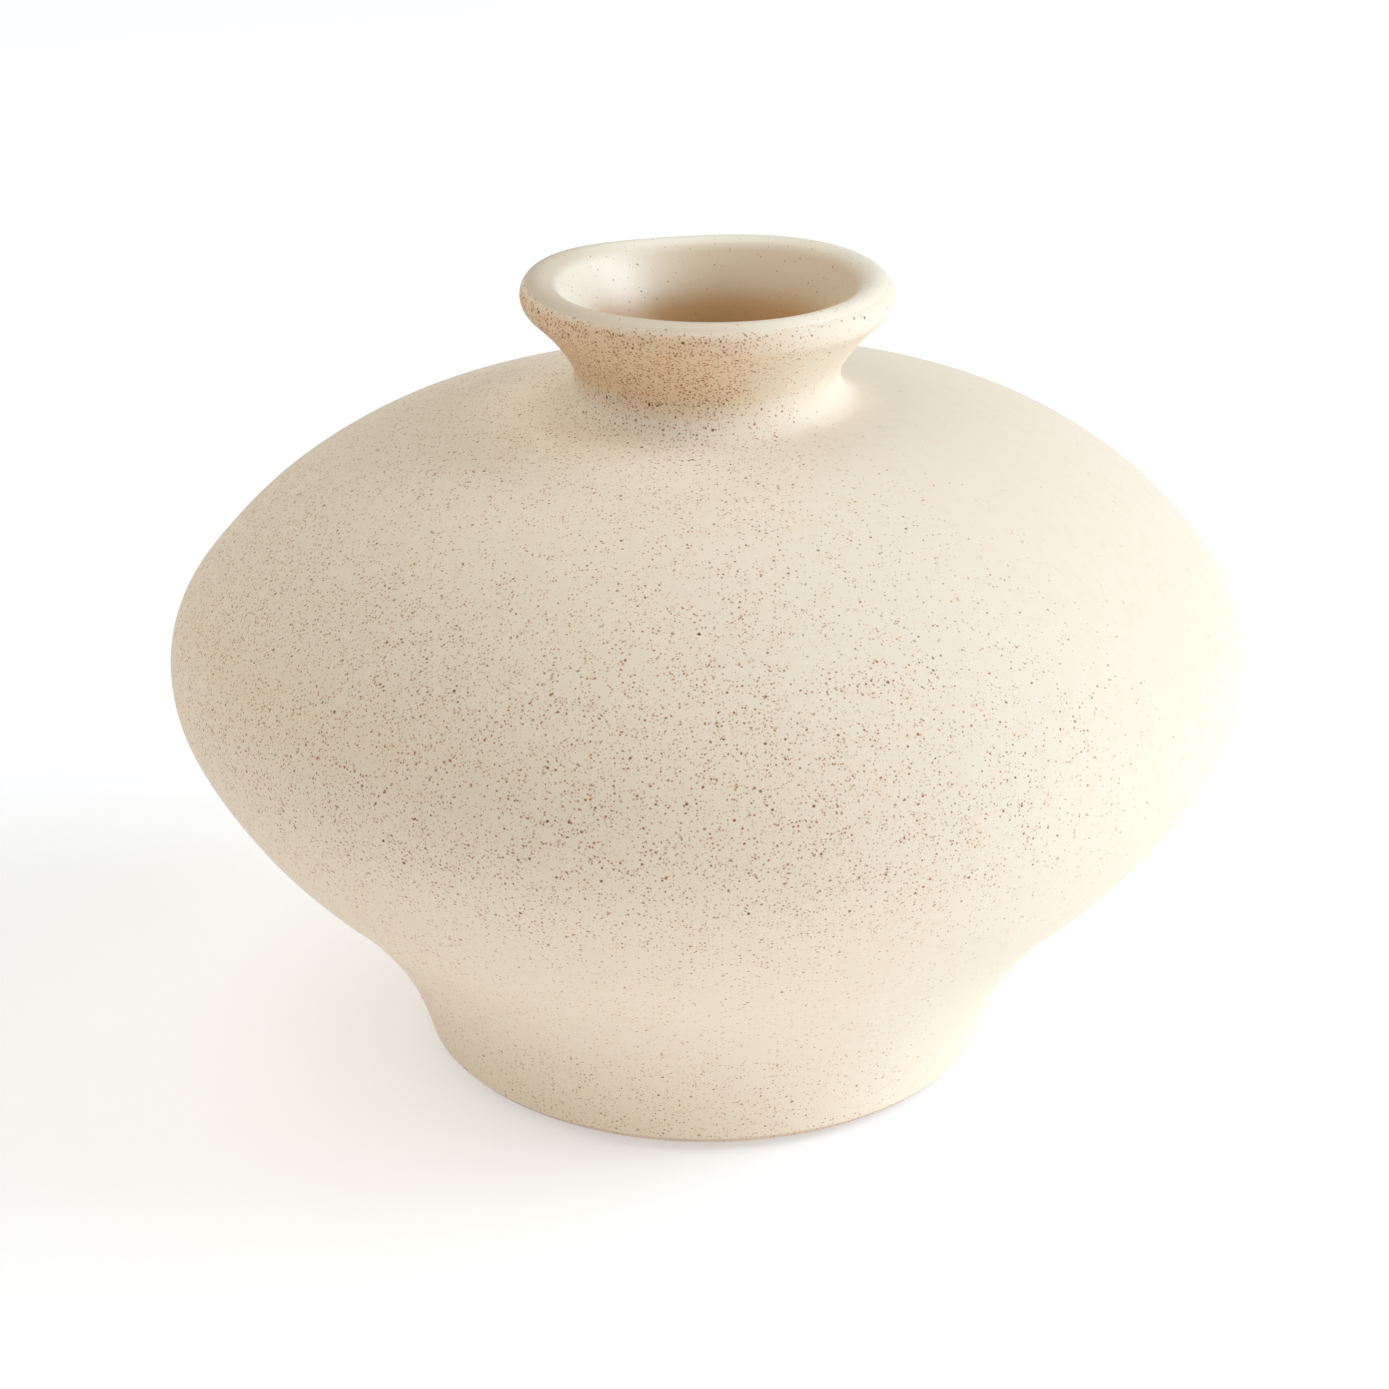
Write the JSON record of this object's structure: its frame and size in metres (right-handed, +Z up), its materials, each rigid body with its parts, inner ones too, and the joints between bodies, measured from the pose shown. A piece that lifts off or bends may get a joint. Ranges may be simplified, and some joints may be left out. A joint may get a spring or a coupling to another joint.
{
  "type": "stoneware vase",
  "caption": "Wide round stoneware vase with a short flared neck, rolled lip and narrow foot, in a speckled cream matte glaze.",
  "frame": {"origin": "on the vase's axis, at the surface it stands on", "axes": "+Z up along the vase's axis, through the mouth; X and Y are level and alike, and the front faces -Y"},
  "size_m": [0.305, 0.305, 0.2286],
  "materials": {
    "clay_body": "unglazed buff stoneware with iron specks",
    "luting_slip": "fired slip",
    "exterior_glaze": "matte cream glaze with rust and brown specks",
    "liner_glaze": "satin cream glaze",
    "pad": "matte translucent silicone"
  },
  "bodies": {
    "root": {"base_section": "clay_body", "belly_section": "clay_body", "shoulder_section": "clay_body", "neck_collar": "clay_body", "waist_slip": "luting_slip", "belly_slip": "luting_slip", "neck_slip": "luting_slip", "exterior_glaze": "exterior_glaze", "liner_glaze": "liner_glaze", "foot_pads": "pad"}
  },
  "joints": []
}
